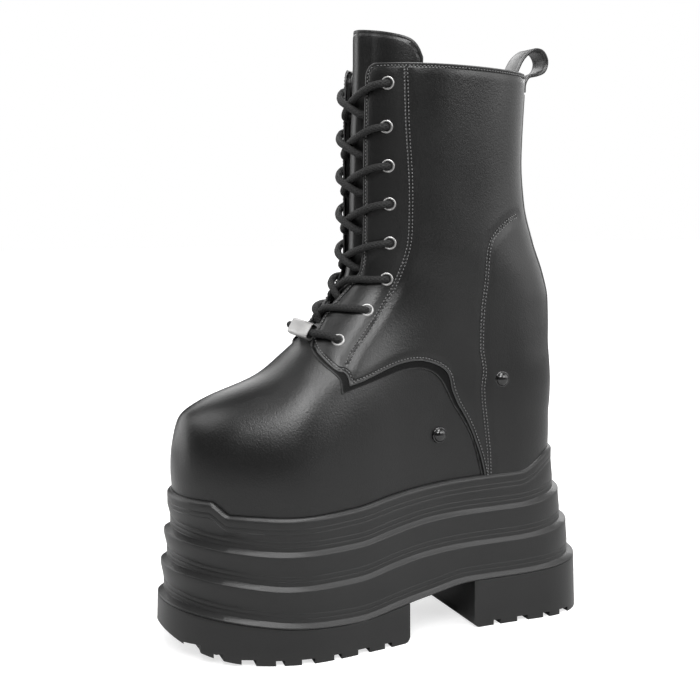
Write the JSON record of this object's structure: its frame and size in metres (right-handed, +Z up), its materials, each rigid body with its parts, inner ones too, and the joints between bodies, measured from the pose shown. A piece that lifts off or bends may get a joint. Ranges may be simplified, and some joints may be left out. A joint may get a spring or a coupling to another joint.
{
  "type": "platform boot",
  "caption": "Tall laced left ankle boot with a hollow leather-like upper, standing tongue, pull loop and a thick stepped platform sole with separate front and heel tread blocks.",
  "frame": {"origin": "on the floor, under the middle of the boot's box", "axes": "+Z up, -Y toward the toe, +X toward the boot's outer side"},
  "size_m": [0.112, 0.287, 0.3789],
  "materials": {
    "upper_leather": "smooth semi-gloss",
    "tongue_leather": "smooth semi-gloss",
    "stay_leather": "smooth semi-gloss",
    "insole_lining": "matt lining",
    "sole_rubber": "matt moulded",
    "tread_rubber": "matt moulded",
    "loop_strap": "fine grained strap",
    "lace_cord": "round braided cord",
    "eyelet_metal": "polished",
    "tag_metal": "satin",
    "stud_enamel": "glossy black"
  },
  "bodies": {
    "root": {"upper": "upper_leather", "tongue": "tongue_leather", "insole": "insole_lining", "platform": "sole_rubber", "outsole_forefoot": "tread_rubber", "outsole_heel": "tread_rubber", "backstay": "stay_leather", "pull_loop": "loop_strap", "lace_bar": "lace_cord", "lace_tag": "tag_metal", "stud_vamp": "stud_enamel", "stud_counter": "stud_enamel", "eyelet_lateral_1": "eyelet_metal", "eyelet_lateral_2": "eyelet_metal", "eyelet_lateral_3": "eyelet_metal", "eyelet_lateral_4": "eyelet_metal", "eyelet_lateral_5": "eyelet_metal", "eyelet_lateral_6": "eyelet_metal", "eyelet_lateral_7": "eyelet_metal", "eyelet_lateral_8": "eyelet_metal", "eyelet_medial_1": "eyelet_metal", "eyelet_medial_2": "eyelet_metal", "eyelet_medial_3": "eyelet_metal", "eyelet_medial_4": "eyelet_metal", "eyelet_medial_5": "eyelet_metal", "eyelet_medial_6": "eyelet_metal", "eyelet_medial_7": "eyelet_metal", "eyelet_medial_8": "eyelet_metal", "lace_crossing_1": "lace_cord", "lace_crossing_2": "lace_cord", "lace_crossing_3": "lace_cord", "lace_crossing_4": "lace_cord", "lace_crossing_5": "lace_cord", "lace_crossing_6": "lace_cord", "lace_crossing_7": "lace_cord"}
  },
  "joints": []
}
